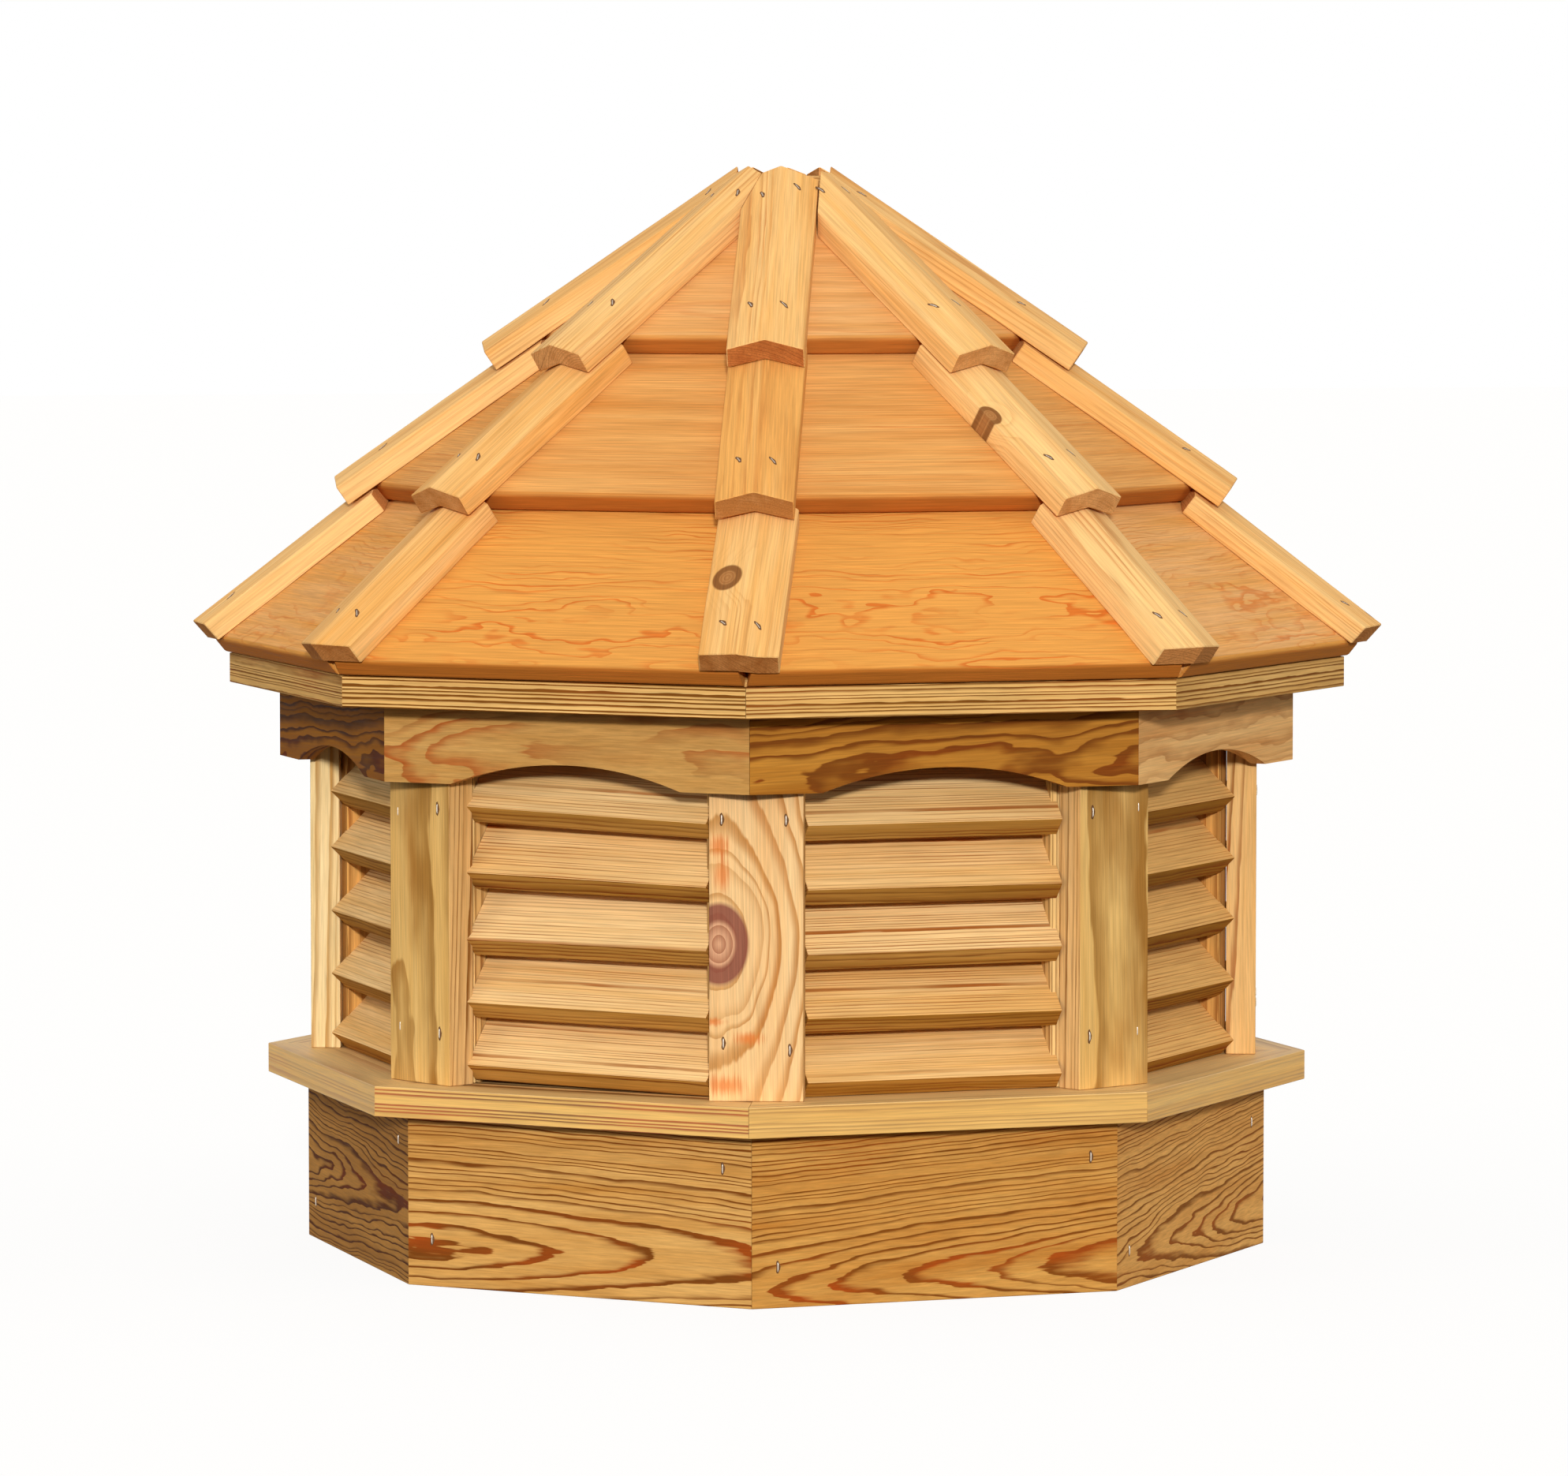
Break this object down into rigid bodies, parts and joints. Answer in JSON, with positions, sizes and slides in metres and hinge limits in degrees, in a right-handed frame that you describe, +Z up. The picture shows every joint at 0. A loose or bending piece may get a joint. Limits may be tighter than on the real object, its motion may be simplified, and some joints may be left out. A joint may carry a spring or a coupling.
{
  "type": "roof cupola",
  "caption": "Eight-sided louvred roof cupola in bare wood, with a boarded skirt, corner posts, arched valances and a boarded roof under hip caps.",
  "frame": {"origin": "centre of the skirt's foot, on the level plane that the cupola stands on", "axes": "+Z up through the peak; -Y out through side 1, the side right of the near corner in the main view; +X out through side 3"},
  "size_m": [0.9444, 0.9444, 0.9225],
  "materials": {
    "pine": "bare planed softwood, no coating",
    "roof_wood": "bare planed cedar boards, no coating",
    "cap_wood": "bare planed cedar, freshly cut ends",
    "framing": "rough sawn softwood framing"
  },
  "bodies": {
    "root": {"skirt_board_1": "pine", "skirt_board_2": "pine", "skirt_board_3": "pine", "skirt_board_4": "pine", "skirt_board_5": "pine", "skirt_board_6": "pine", "skirt_board_7": "pine", "skirt_board_8": "pine", "sill": "pine", "post_1": "pine", "post_2": "pine", "post_3": "pine", "post_4": "pine", "post_5": "pine", "post_6": "pine", "post_7": "pine", "post_8": "pine", "louvre_slats_1": "pine", "louvre_slats_2": "pine", "louvre_slats_3": "pine", "louvre_slats_4": "pine", "louvre_slats_5": "pine", "louvre_slats_6": "pine", "louvre_slats_7": "pine", "louvre_slats_8": "pine", "louvre_stiles": "pine", "valance_board_1": "pine", "valance_board_2": "pine", "valance_board_3": "pine", "valance_board_4": "pine", "valance_board_5": "pine", "valance_board_6": "pine", "valance_board_7": "pine", "valance_board_8": "pine", "eave_plate": "pine", "roof_boards_lower": "roof_wood", "roof_boards_middle": "roof_wood", "roof_boards_upper": "roof_wood", "hip_caps_lower": "cap_wood", "hip_caps_middle": "cap_wood", "hip_caps_upper": "cap_wood", "hip_rafters": "framing", "peak_block": "framing"}
  },
  "joints": []
}
